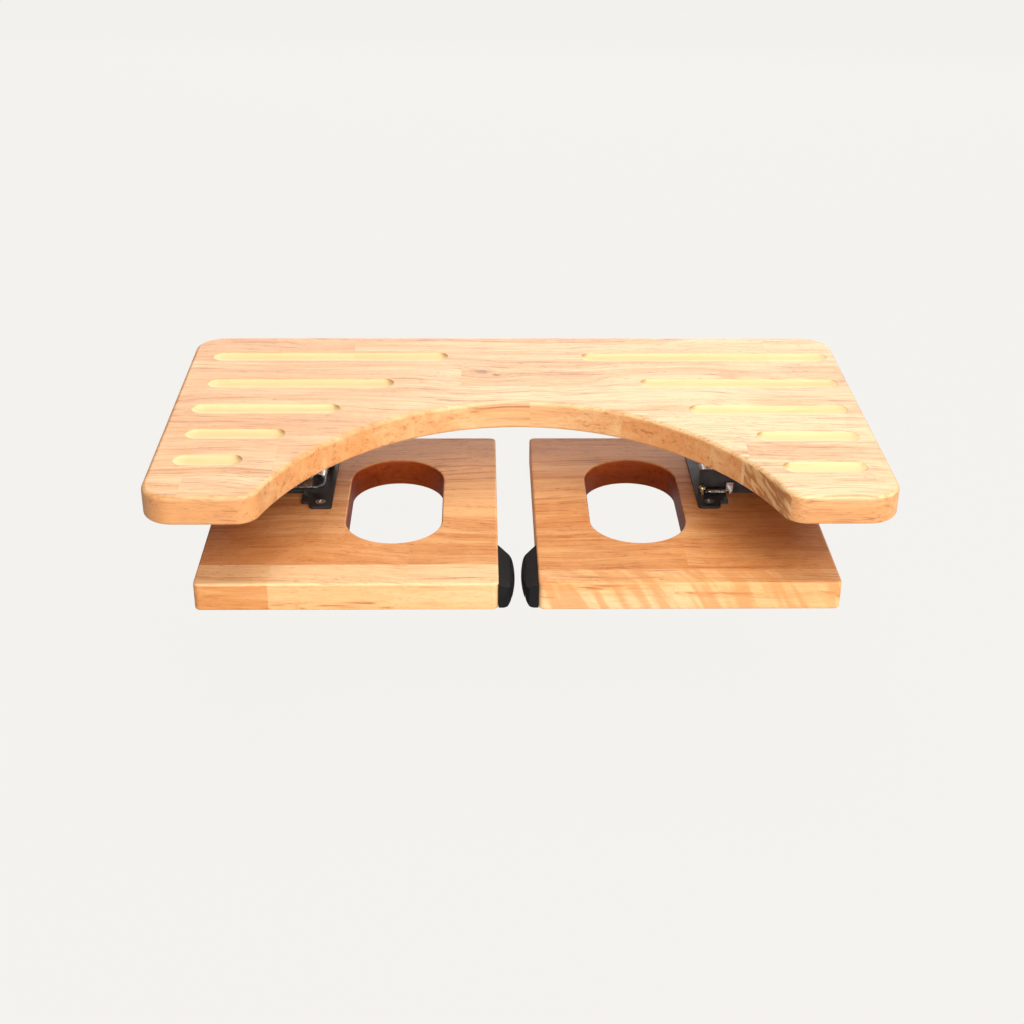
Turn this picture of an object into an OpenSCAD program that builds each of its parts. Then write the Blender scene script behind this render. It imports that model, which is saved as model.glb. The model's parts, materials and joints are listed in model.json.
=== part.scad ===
// Folding wooden foot-stool: a top board with a curved cut-out, on two leg boards that
// fold flat beneath it on self-locking steel brackets. Stored position, legs folded.
// +X runs to the right, +Y to the back, +Z up; the folded legs lie on Z = 0.

/* [Boards] */
// Length of the top board
top_length = 480; // [460:1:520]
// Depth of the top board, front to back
top_depth = 268; // [262:1:280]
// Thickness of all three boards
board_t = 20; // [18:0.5:22]
// Radius of the top board's corners
top_corner_r = 21; // [10:1:30]
// Air gap between the folded legs and the top board
fold_gap = 48; // [47:1:52]

/* [Cut-out] */
// Radius of the middle of the cut-out's curve
cut_mid_r = 150; // [145:1:155]
// Radius of the two sides of the cut-out's curve
cut_side_r = 207; // [200:1:215]
// Angle from the middle at which the side curves take over
cut_join_angle = 34; // [30:1:38]
// How far behind the top board's middle the cut-out reaches
cut_apex_y = 11; // [5:1:14]
// Radius that rounds the cut-out into the front edge
cut_lip_r = 16; // [8:1:20]

/* [Grip grooves] */
// Width of a groove at the surface
groove_w = 16; // [12:0.5:18]
// Depth of a groove
groove_depth = 3; // [1.5:0.25:4]
// Where the left grooves lie, front to back
groove_y_left = [-81, -40.5, 0.5, 45, 95]; // [-100:0.5:100]
// Where the left grooves start, near the cut-out
groove_x_left = [180.5, 157, 123.5, 88, 50]; // [40:0.5:200]
// Where the left grooves end, near the board's end
groove_end_left = [225.5, 224, 226, 221.5, 224.5]; // [218:0.5:228]
// Where the right grooves lie, front to back
groove_y_right = [-92, -45, -1.5, 45, 94]; // [-100:0.5:100]
// Where the right grooves start, near the cut-out
groove_x_right = [169.5, 159.5, 119, 89, 49]; // [40:0.5:200]
// Where the right grooves end, near the board's end
groove_end_right = [224.5, 229, 230, 232, 233.5]; // [218:0.5:234]

/* [Legs] */
// How far the middle between the legs lies to the right of the top board's middle
leg_shift = -1.5; // [-2:0.5:2]
// Distance from that middle to a leg's inner end
leg_inner_x = 13; // [12:0.5:16]
// Distance from that middle to a leg's outer end
leg_outer_x = 210.5; // [208:0.5:212]
// Front edge of the legs
leg_front_y = -124; // [-126:0.5:-120]
// Back edge of the legs
leg_back_y = 97.5; // [92:0.5:110]
// Radius of the legs' corners
leg_corner_r = 4; // [2:0.5:6]
// Width of a hand hole
hole_w = 66; // [60:1:68]
// Length of a hand hole, front to back
hole_length = 127; // [110:1:130]
// Distance from the middle between the legs to the middle of a hand hole
hole_x = 84.5; // [82:0.5:86]
// Where the middle of a hand hole lies, front to back
hole_y = -5.5; // [-8:0.5:0]

/* [Brackets] */
// Where the middle of a bracket lies, front to back
bracket_y = 24; // [20:1:28]
// Thickness of the bracket's steel plate
plate_t = 2; // [1.5:0.25:2]
// Clearance left under the top board when a leg stands
stop_gap = 1; // [0.8:0.1:1.2]
// Radius of the pivot pin
pivot_r = 3; // [2.5:0.25:3]
// Radial clearance of a pin that turns or slides in a hole
running_gap = 0.05; // [0.03:0.01:0.08]
// Half the distance over the leg plate's two ears
leg_ear_y = 20; // [19.5:0.5:20]
// Gap between a leg ear and the top ear beside it
ear_gap = 1; // [1:0.1:1.2]

/* [Lock] */
// Radius of the lock pin
lock_r = 2.5; // [2:0.25:2.5]
// Distance from the pivot at which the released lock pin rides
lock_ride_r = 12.5; // [12:0.25:12.5]
// How far the lock pin drops into its notch
lock_travel = 4; // [3.5:0.25:4]
// Clearance around the lock pin in the top ears' slot
slot_gap = 0.3; // [0.2:0.05:0.3]
// Thickness of the release slide
slide_t = 1.2; // [1:0.1:1.4]
// Outer radius of the rolled finger grip
curl_r = 5.5; // [5:0.25:6]
// Radius of the return spring
spring_r = 1.8; // [1.5:0.1:1.8]

/* [Feet] */
// How far a foot stands out from the leg's end
foot_out = 8.5; // [8:0.1:8.6]
// How far the foot's pad stands out from the foot
pad_out = 2.4; // [1:0.1:2.6]
// Length of a foot, front to back
foot_length = 54; // [50:1:58]
// Radius of the foot's lower edge
foot_round_r = 6; // [4:0.5:7]

/* [Screws] */
// Radius of a wood screw's shank
screw_r = 2; // [1.75:0.25:2]
// Radius of a wood screw's head
screw_head_r = 3.6; // [3.4:0.1:3.8]
// Length of a wood screw
screw_length = 16; // [14:1:17]

/* [Hidden] */
$fn = 64;
eps = 0.01;
gap = fold_gap / 2;                       // pivot axis to the boards' faces
top_z = board_t + fold_gap;               // underside of the top board
top_face_z = top_z + board_t;             // standing surface
pivot_x = leg_outer_x - gap + stop_gap;
pivot_z = board_t + gap;
join_s = sin(cut_join_angle);
join_c = cos(cut_join_angle);
cut_mid_y = cut_apex_y - cut_mid_r;       // centre of the cut-out's middle curve
cut_side_x = (cut_side_r - cut_mid_r) * join_s;
cut_side_y = cut_mid_y - (cut_side_r - cut_mid_r) * join_c;
front_y = -top_depth / 2;
lip_y = front_y + cut_lip_r;              // centre of the rounding into the front edge
lip_x = sqrt(pow(cut_side_r + cut_lip_r, 2) - pow(lip_y - cut_side_y, 2)) - cut_side_x;
lip_share = cut_side_r / (cut_side_r + cut_lip_r);
groove_ball_r = (pow(groove_w / 2, 2) + pow(groove_depth, 2)) / (2 * groove_depth);
slide_room = 0.4;                         // under and over the release slide
fit_gap = 0.05;                           // room around a screw in its hole
drive_w = 1;                              // width of a screw head's cross slot
drive_depth = 1;
point_r = 0.3;                            // blunt end of a screw's point

// Bracket sizes, measured outwards (+x) from the pivot axis
base_in = -58.5;                          // inner end of the leg plate
base_out = 18.5;                          // outer end of the leg plate
flange_out = -36.5;                       // outer edge of the wide inner flange
flange_y = 37;
flange_corner_r = 1.5;
tab_out = -42.5;                          // outer edge of the inner screw tabs
tab_y = 44.5;
tab_corner_r = 3;
outer_tab_in = 2.5;
outer_tab_y = 33;
leg_screw_in = [-50, 36.5];
leg_screw_out = [11.5, 27];
leg_screws = [for (s = [leg_screw_in, leg_screw_out], side = [-1, 1]) [s[0], side * s[1]]];
top_base_in = -36.5;
top_base_out = 19.5;
top_base_y = 34;
top_base_corner_r = 4;
top_screws = [for (x = [-29.5, 12.5], y = [-28.5, 28.5]) [x, y]];
ear_boss_r = 9;                           // leg ear around the pivot
cam_r = 21.5;                             // top ear around the pivot
long_ear_in = -55.5;
long_ear_h = 18;
short_ear_in = -29;
ear_shoulder_x = -24;
ear_shoulder_z = 7.5;
ear_foot_h = 8;
ear_low_length = 20;
top_ear_y = leg_ear_y + ear_gap;          // inner face of a top ear
lock_end_r = lock_ride_r + lock_travel;   // lock pin's radius when engaged
washer_t = ear_gap - 0.2;
washer_r = 8;
rivet_head_r = 6;
rivet_head_t = 2;
clip_t = 0.7;
clip_r = 4.6;
clip_mouth = 3.2;                         // opening of a retaining clip
clip_neck_r = lock_r - 0.5;
clip_y = top_ear_y + plate_t + 0.4;       // inner face of a retaining clip
lock_pin_y = clip_y + clip_t + 1.2;
slide_z = -gap + plate_t + slide_room;           // underside of the release slide
slide_y = 16;
slide_in = -47;
slide_out = -7;
lug_in = -18;
lug_top = 5;
curl_y = 14;
curl_slit = 5;
finger_in = -36.5;
finger_out = -31.5;
finger_y = leg_ear_y + 2.4;               // outer face of the spring tab
finger_h = 7;
finger_clearance = 1;                     // room around the spring tab in the ear's window
spring_y = -25.5;
spring_z = -gap + plate_t + 0.3 + spring_r;
spring_in = -52;
spring_out = -36.5;
peg_x = -34;
peg_r = 0.9;
post_x = -54;
post_r = 1.5;
post_head_r = 2.6;
post_head_t = 1.5;
post_top = -gap + 8.5;

// Foot sizes, measured from the leg's front inner corner
foot_front = 0.8;                         // set back from the leg's front edge
foot_low = 1.2;
foot_top = 18;
foot_lip_top = 15.5;                      // the foot's upper face slopes down to here
foot_back_cut = [8, 10];
foot_front_cut = [2.5, 4];
pad_y = [7, 43];
pad_z = [4.5, 15];
pad_crown_r = 70;
pad_edge_r = 9;
foot_screw_y = [15, 35];
foot_screw_r = 1.75;
foot_screw_head_r = 3.5;
foot_screw_length = 20;
foot_screw_seat = 6;                      // face of the screw's head

// ---------- shared shapes ----------

// A rectangle with round corners between two opposite corners
module round_rect(low, high, r) {
    size = high - low;
    translate(low + [r, 0]) square([size[0] - 2 * r, size[1]]);
    translate(low + [0, r]) square([size[0], size[1] - 2 * r]);
    for (x = [low[0] + r, high[0] - r], y = [low[1] + r, high[1] - r]) {
        translate([x, y]) circle(r);
    }
}

// A flat plate of the given outline, standing across the pivot axis between two y values
module across(y_low, y_high) {
    translate([0, y_high, 0]) rotate([90, 0, 0]) linear_extrude(y_high - y_low) children();
}

// A rod along the pivot axis between two y values
module rod(r, y_low, y_high) {
    translate([0, y_low, 0]) rotate([-90, 0, 0]) cylinder(r = r, h = y_high - y_low);
}

// Everything below the top board sits a little off the top board's middle
module below() {
    translate([leg_shift, 0, 0]) children();
}

// Brackets are not handed: the left one is the right one turned half round
module on_right() {
    translate([pivot_x, bracket_y, pivot_z]) children();
}

module on_left() {
    translate([-pivot_x, bracket_y, pivot_z]) rotate([0, 0, 180]) children();
}

// A countersunk wood screw, its head's face at the origin and its point downwards
module wood_screw(r, head_r, length) {
    head_h = head_r - r;
    point_h = 2 * r;
    difference() {
        union() {
            translate([0, 0, -head_h]) cylinder(r1 = r, r2 = head_r, h = head_h);
            translate([0, 0, point_h - length]) cylinder(r = r, h = length - point_h - head_h + eps);
            translate([0, 0, -length]) cylinder(r1 = point_r, r2 = r, h = point_h + eps);
        }
        for (turn = [0, 90]) {
            rotate([0, 0, turn]) translate([-r, -drive_w / 2, -drive_depth]) {
                cube([2 * r, drive_w, drive_depth + 1]);
            }
        }
    }
}

// The hole that a countersunk screw fills, in the plate and in the wood
module screw_hole(r, head_r, length) {
    head_h = head_r - r;
    translate([0, 0, -head_h]) cylinder(r1 = r + fit_gap, r2 = head_r + fit_gap, h = head_h + eps);
    translate([0, 0, -length - 1]) cylinder(r = r + fit_gap, h = length + 1 - head_h / 2);
}

// Screws, or their holes, through the leg plate into the leg
module leg_screw_places() {
    for (p = leg_screws) {
        translate([p[0], p[1], plate_t - gap]) children();
    }
}

// Screws, or their holes, through the top plate into the top board
module top_screw_places() {
    for (p = top_screws) {
        translate([p[0], p[1], gap - plate_t]) mirror([0, 0, 1]) children();
    }
}

// ---------- boards ----------

// Everything inside the cut-out's curve, down past the front edge
module cut_outline() {
    deep = 2 * cut_side_r;
    intersection() {
        translate([-cut_side_x, cut_side_y]) circle(cut_side_r, $fn = 128);
        translate([cut_side_x, cut_side_y]) circle(cut_side_r, $fn = 128);
        union() {
            translate([0, cut_mid_y]) circle(cut_mid_r, $fn = 128);
            translate([-deep, -2 * deep]) square([2 * deep, 2 * deep + cut_mid_y + cut_mid_r * join_c]);
        }
    }
}

// What rounding the cut-out into the front edge takes off one side
module lip_cutter() {
    touch = [
        lip_share * (lip_x + cut_side_x) - cut_side_x,
        lip_share * (lip_y - cut_side_y) + cut_side_y
    ];
    difference() {
        polygon([[lip_x, front_y - 1], [lip_x, front_y], touch, [touch[0] - 8, front_y - 1]]);
        translate([lip_x, lip_y]) circle(cut_lip_r);
    }
}

// A round-bottomed groove from x = from to x = to, sunk into the standing surface
module groove(from, to, y) {
    inset = groove_w / 2;
    translate([0, y, top_face_z + groove_ball_r - groove_depth]) {
        translate([from + inset, 0, 0]) rotate([0, 90, 0]) {
            cylinder(r = groove_ball_r, h = to - from - groove_w);
        }
        for (x = [from + inset, to - inset]) {
            translate([x, 0, 0]) sphere(groove_ball_r);
        }
    }
}

module top_board() {
    color("#efc796") difference() {
        translate([0, 0, top_z]) linear_extrude(board_t) difference() {
            round_rect([-top_length / 2, front_y], [top_length / 2, -front_y], top_corner_r);
            cut_outline();
            lip_cutter();
            mirror([1, 0]) lip_cutter();
        }
        for (i = [0:4]) {
            groove(groove_x_right[i], groove_end_right[i], groove_y_right[i]);
            mirror([1, 0, 0]) groove(groove_x_left[i], groove_end_left[i], groove_y_left[i]);
        }
        below() {
            on_right() top_screw_places() screw_hole(screw_r, screw_head_r, screw_length);
            on_left() top_screw_places() screw_hole(screw_r, screw_head_r, screw_length);
        }
    }
}

module leg_board() {
    half_straight = (hole_length - hole_w) / 2;
    color("#d99a5b") difference() {
        linear_extrude(board_t) difference() {
            round_rect([leg_inner_x, leg_front_y], [leg_outer_x, leg_back_y], leg_corner_r);
            translate([hole_x, hole_y]) {
                square([hole_w, 2 * half_straight], center = true);
                for (y = [-half_straight, half_straight]) {
                    translate([0, y]) circle(hole_w / 2, $fn = 96);
                }
            }
        }
        on_right() leg_screw_places() screw_hole(screw_r, screw_head_r, screw_length);
        foot_screw_places() screw_hole(foot_screw_r, foot_screw_head_r, foot_screw_length);
    }
}

// ---------- screws ----------

module leg_plate_screws() {
    color("#9a9a9c") leg_screw_places() wood_screw(screw_r, screw_head_r, screw_length);
}

module top_plate_screws() {
    color("#9a9a9c") top_screw_places() wood_screw(screw_r, screw_head_r, screw_length);
}

// ---------- bracket plates ----------

// The upper edge of a leg ear falls from the boss to a lower inner end
module leg_ear_outline(inner_end, inner_h) {
    circle(ear_boss_r);
    polygon([
        [inner_end, -gap], [inner_end, inner_h - gap],
        [min(inner_end + ear_low_length, ear_shoulder_x - 1), inner_h - gap],
        [ear_shoulder_x, ear_shoulder_z], [0, ear_boss_r], [ear_boss_r, 0],
        [base_out - 1, ear_foot_h - gap], [base_out - 1, -gap]
    ]);
}

// Radial slot in which the lock pin slides
module lock_guide() {
    r = lock_r + running_gap;
    for (x = [-lock_ride_r, -lock_end_r]) {
        translate([x, 0]) circle(r);
    }
    translate([-lock_end_r, -r]) square([lock_travel, 2 * r]);
}

module leg_plate() {
    window_in = finger_in - lock_travel - finger_clearance;
    color("#1d1b1c") difference() {
        union() {
            translate([0, 0, -gap]) linear_extrude(plate_t) {
                translate([base_in, -leg_ear_y]) square([base_out - base_in, 2 * leg_ear_y]);
                round_rect([base_in, -flange_y], [flange_out, flange_y], flange_corner_r);
                round_rect([base_in, -tab_y], [tab_out, tab_y], tab_corner_r);
                round_rect([outer_tab_in, -outer_tab_y], [base_out, outer_tab_y], tab_corner_r);
            }
            across(-leg_ear_y, plate_t - leg_ear_y) leg_ear_outline(long_ear_in, long_ear_h);
            across(leg_ear_y - plate_t, leg_ear_y) leg_ear_outline(short_ear_in, ear_foot_h);
        }
        rod(pivot_r + running_gap, -leg_ear_y - 1, leg_ear_y + 1);
        across(-leg_ear_y - 1, leg_ear_y + 1) lock_guide();
        translate([window_in, -leg_ear_y - 1, plate_t - gap]) {
            cube([finger_out - window_in + finger_clearance, plate_t + 2, slide_t + 2 * slide_room]);
        }
        translate([post_x, spring_y, -gap - 1]) cylinder(r = post_r, h = plate_t + 2);
        leg_screw_places() screw_hole(screw_r, screw_head_r, screw_length);
    }
}

// Quarter-circle slot in a top ear, with a notch outwards at each end
module cam_slot() {
    r = lock_r + slot_gap;
    intersection() {
        difference() {
            circle(lock_ride_r + r);
            circle(lock_ride_r - r);
        }
        translate([-cam_r, -cam_r]) square(cam_r);
    }
    for (turn = [0, 90]) {
        rotate(turn) {
            for (x = [-lock_ride_r, -lock_end_r]) {
                translate([x, 0]) circle(r);
            }
            translate([-lock_end_r, -r]) square([lock_travel, 2 * r]);
        }
    }
}

module top_ear_outline() {
    circle(cam_r);
    translate([-cam_r, 0]) square([cam_r + top_base_out, gap]);
}

module top_plate() {
    color("#1d1b1c") difference() {
        union() {
            translate([0, 0, gap - plate_t]) linear_extrude(plate_t) {
                round_rect([top_base_in, -top_base_y], [top_base_out, top_base_y], top_base_corner_r);
            }
            across(-top_ear_y - plate_t, -top_ear_y) top_ear_outline();
            across(top_ear_y, top_ear_y + plate_t) top_ear_outline();
        }
        rod(pivot_r, -top_ear_y - plate_t - 1, top_ear_y + plate_t + 1);
        across(-top_ear_y - plate_t - 1, top_ear_y + plate_t + 1) cam_slot();
        top_screw_places() screw_hole(screw_r, screw_head_r, screw_length);
    }
}

// ---------- pivot ----------

module pivot_pin() {
    ear_face = top_ear_y + plate_t;
    color("#8d8d90") {
        rod(pivot_r, -ear_face, ear_face);
        for (turn = [0, 180]) {
            rotate([0, 0, turn]) translate([0, ear_face, 0]) rotate([-90, 0, 0]) {
                cylinder(r1 = rivet_head_r, r2 = rivet_head_r - 1.5, h = rivet_head_t);
            }
        }
    }
}

module pivot_washers() {
    color("#e9e6df") for (turn = [0, 180]) {
        rotate([0, 0, turn]) difference() {
            rod(washer_r, leg_ear_y + 0.1, leg_ear_y + 0.1 + washer_t);
            rod(pivot_r + running_gap, leg_ear_y, leg_ear_y + ear_gap);
        }
    }
}

// ---------- lock ----------

module lock_pin() {
    color("#9a9a9c") translate([-lock_ride_r, 0, 0]) difference() {
        rod(lock_r, -lock_pin_y, lock_pin_y);
        for (turn = [0, 180]) {
            rotate([0, 0, turn]) difference() {
                rod(lock_r + 1, clip_y, clip_y + clip_t);
                rod(clip_neck_r, clip_y - 1, clip_y + clip_t + 1);
            }
        }
    }
}

// Two open retaining clips in the lock pin's grooves
module lock_pin_clips() {
    color("#6f6f72") for (turn = [0, 180]) {
        translate([-lock_ride_r, 0, 0]) rotate([0, 0, turn]) {
            across(clip_y, clip_y + clip_t) difference() {
                circle(clip_r);
                circle(clip_neck_r);
                translate([-clip_mouth / 2, 0]) square([clip_mouth, clip_r + 1]);
            }
        }
    }
}

// Zinc-plated slide: two lugs hold the lock pin, a rolled end takes the finger,
// and a tab reaches through the long ear to the spring
module release_slide() {
    color("#c9c4b8") {
        difference() {
            union() {
                translate([slide_in, -slide_y, slide_z]) {
                    cube([slide_out - slide_in, 2 * slide_y, slide_t]);
                }
                for (y = [-slide_y, slide_y - slide_t]) {
                    translate([lug_in, y, slide_z]) cube([slide_out - lug_in, slide_t, lug_top - slide_z]);
                }
            }
            translate([-lock_ride_r, 0, 0]) rod(lock_r, -slide_y - 1, slide_y + 1);
        }
        translate([slide_in, 0, slide_z + curl_r]) across(-curl_y, curl_y) difference() {
            circle(curl_r);
            circle(curl_r - slide_t);
            translate([0, -curl_r + slide_t + eps]) square([curl_r + 1, curl_slit]);
        }
        translate([finger_in, -finger_y, slide_z]) {
            cube([finger_out - finger_in, finger_y - slide_y + 1, slide_t]);
            cube([finger_out - finger_in, slide_t, finger_h]);
        }
        translate([peg_x, 0, spring_z]) rod(peg_r, spring_y - 2, -finger_y + eps);
    }
}

// The tension spring's outer shape
module lock_spring() {
    color("#8c8674") translate([spring_in, spring_y, spring_z]) rotate([0, 90, 0]) {
        difference() {
            cylinder(r = spring_r, h = spring_out - spring_in);
            translate([0, 0, -1]) cylinder(r = spring_r / 2, h = spring_out - spring_in + 2);
        }
    }
}

// Headed post on the leg plate that holds the spring's fixed end
module spring_post() {
    color("#b08a4a") translate([post_x, spring_y, 0]) {
        translate([0, 0, -gap]) cylinder(r = post_r, h = post_top - post_head_t + gap + eps);
        translate([0, 0, post_top - post_head_t]) cylinder(r1 = post_head_r, r2 = post_r, h = post_head_t);
    }
}

// ---------- feet ----------

// Foot frame: x out of the leg's inner end, y back from the leg's front edge, z up
module at_foot() {
    translate([leg_inner_x, leg_front_y + foot_front, 0]) mirror([1, 0, 0]) children();
}

// Screws, or their holes, through the foot into the leg's end
module foot_screw_places() {
    mid_z = (pad_z[0] + pad_z[1]) / 2;
    at_foot() for (y = foot_screw_y) {
        translate([foot_screw_seat, y, mid_z]) rotate([0, 90, 0]) children();
    }
}

// The foot seen from the front: sloping upper face, round lower edge
module foot_section() {
    round_x = foot_out - foot_round_r;
    round_z = foot_low + foot_round_r;
    polygon([
        [0, foot_low], [round_x, foot_low], [foot_out, round_z],
        [foot_out, foot_lip_top - 1], [foot_out - 1, foot_lip_top], [0, foot_top]
    ]);
    intersection() {
        translate([round_x, round_z]) circle(foot_round_r);
        square([foot_out, 2 * round_z]);
    }
}

module foot() {
    color("#17171a") difference() {
        at_foot() intersection() {
            translate([0, foot_length, 0]) rotate([90, 0, 0]) linear_extrude(foot_length) foot_section();
            linear_extrude(board_t) polygon([
                [0, 0], [foot_out - foot_front_cut[0], 0], [foot_out, foot_front_cut[1]],
                [foot_out, foot_length - foot_back_cut[1]],
                [foot_out - foot_back_cut[0], foot_length], [0, foot_length]
            ]);
        }
        foot_screw_places() screw_hole(foot_screw_r, foot_screw_head_r, foot_screw_length);
        foot_screw_places() cylinder(r = foot_screw_head_r + fit_gap, h = foot_out);
    }
}

// Soft pad with a crowned face
module foot_pad() {
    mid_y = (pad_y[0] + pad_y[1]) / 2;
    mid_z = (pad_z[0] + pad_z[1]) / 2;
    face = foot_out + pad_out;
    color("#0f0f12") at_foot() intersection() {
        translate([foot_out, pad_y[0], pad_z[0]]) {
            cube([pad_out, pad_y[1] - pad_y[0], pad_z[1] - pad_z[0]]);
        }
        translate([face - pad_crown_r, mid_y, 0]) cylinder(r = pad_crown_r, h = board_t, $fn = 128);
        translate([face - pad_edge_r, 0, mid_z]) rod(pad_edge_r, 0, foot_length);
    }
}

module foot_screws() {
    color("#8d8d90") foot_screw_places() wood_screw(foot_screw_r, foot_screw_head_r, foot_screw_length);
}

// ---------- the parts ----------

top_board();
below() on_left() top_plate();  // top_plate_left
below() on_right() top_plate();  // top_plate_right
below() on_left() top_plate_screws();  // top_plate_screws_left
below() on_right() top_plate_screws();  // top_plate_screws_right
below() on_left() pivot_pin();  // pivot_pin_left
below() on_right() pivot_pin();  // pivot_pin_right
below() on_left() pivot_washers();  // pivot_washers_left
below() on_right() pivot_washers();  // pivot_washers_right
below() on_left() leg_plate();  // leg_plate_left
below() on_right() leg_plate();  // leg_plate_right
below() on_left() leg_plate_screws();  // leg_plate_screws_left
below() on_right() leg_plate_screws();  // leg_plate_screws_right
below() on_left() spring_post();  // spring_post_left
below() on_right() spring_post();  // spring_post_right
below() on_left() lock_spring();  // lock_spring_left
below() on_right() lock_spring();  // lock_spring_right
below() on_left() release_slide();  // release_slide_left
below() on_right() release_slide();  // release_slide_right
below() on_left() lock_pin();  // lock_pin_left
below() on_right() lock_pin();  // lock_pin_right
below() on_left() lock_pin_clips();  // lock_pin_clips_left
below() on_right() lock_pin_clips();  // lock_pin_clips_right
below() mirror([1, 0, 0]) leg_board();  // leg_board_left
below() leg_board();  // leg_board_right
below() mirror([1, 0, 0]) foot();  // foot_left
below() foot();  // foot_right
below() mirror([1, 0, 0]) foot_pad();  // foot_pad_left
below() foot_pad();  // foot_pad_right
below() mirror([1, 0, 0]) foot_screws();  // foot_screws_left
below() foot_screws();  // foot_screws_right
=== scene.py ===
"""Looks of the folding wooden foot-stool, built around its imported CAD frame."""

import json
from math import asin, atan2, ceil, cos, pi, radians, sin, sqrt

import bmesh
import bpy
from mathutils import Matrix, Vector

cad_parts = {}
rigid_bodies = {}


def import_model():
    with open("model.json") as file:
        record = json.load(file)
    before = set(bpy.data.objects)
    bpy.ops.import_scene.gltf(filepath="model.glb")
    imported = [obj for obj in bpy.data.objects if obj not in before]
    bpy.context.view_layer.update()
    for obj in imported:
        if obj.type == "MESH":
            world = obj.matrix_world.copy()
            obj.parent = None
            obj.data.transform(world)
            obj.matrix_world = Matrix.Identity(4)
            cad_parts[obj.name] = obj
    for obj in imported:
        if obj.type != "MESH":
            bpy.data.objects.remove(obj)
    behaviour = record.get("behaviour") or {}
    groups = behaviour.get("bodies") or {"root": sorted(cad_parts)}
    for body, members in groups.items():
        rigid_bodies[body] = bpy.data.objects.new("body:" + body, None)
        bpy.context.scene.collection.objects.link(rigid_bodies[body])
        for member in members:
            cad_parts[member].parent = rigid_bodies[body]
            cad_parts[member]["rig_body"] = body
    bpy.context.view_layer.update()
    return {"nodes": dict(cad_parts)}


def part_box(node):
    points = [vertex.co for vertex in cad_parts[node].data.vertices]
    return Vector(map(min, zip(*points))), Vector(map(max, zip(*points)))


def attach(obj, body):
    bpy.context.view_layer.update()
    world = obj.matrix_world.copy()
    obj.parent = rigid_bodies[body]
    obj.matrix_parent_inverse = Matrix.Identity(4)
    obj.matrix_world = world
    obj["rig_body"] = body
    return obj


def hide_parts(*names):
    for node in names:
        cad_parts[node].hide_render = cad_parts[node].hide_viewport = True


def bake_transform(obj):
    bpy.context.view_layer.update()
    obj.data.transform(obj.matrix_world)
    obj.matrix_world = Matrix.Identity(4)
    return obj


MM = 0.001
SIDES = ("left", "right")
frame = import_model()
scene = bpy.context.scene


# ---------- camera ----------

LENS, SENSOR = 56.85, 36.0                                   # mm
CAMERA_AT = Vector((-27.29, -1026.75, 547.96)) * MM
YAW, PITCH, ROLL = radians(1.328), radians(27.783), radians(0.531)
UP = Vector((0, 0, 1))


def aim_camera():
    ahead = Vector((sin(YAW), cos(YAW), 0))
    side = Vector((cos(YAW), -sin(YAW), 0))
    view = ahead * cos(PITCH) - UP * sin(PITCH)
    level_above = UP * cos(PITCH) + ahead * sin(PITCH)
    right = side * cos(ROLL) + level_above * sin(ROLL)
    above = level_above * cos(ROLL) - side * sin(ROLL)
    axes = Matrix((right, above, -view)).transposed().to_4x4()
    camera = bpy.data.objects.new("camera", bpy.data.cameras.new("camera"))
    scene.collection.objects.link(camera)
    camera.data.lens = LENS
    camera.data.sensor_width = SENSOR
    camera.data.clip_start = 0.01
    camera.matrix_world = Matrix.Translation(CAMERA_AT) @ axes
    scene.camera = camera


# ---------- node helpers ----------

def times(colour, by):
    """A colour times a number, or times a number for each channel."""
    if isinstance(by, (int, float)):
        by = (by, by, by)
    return tuple(c * b for c, b in zip(colour, by))


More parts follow.
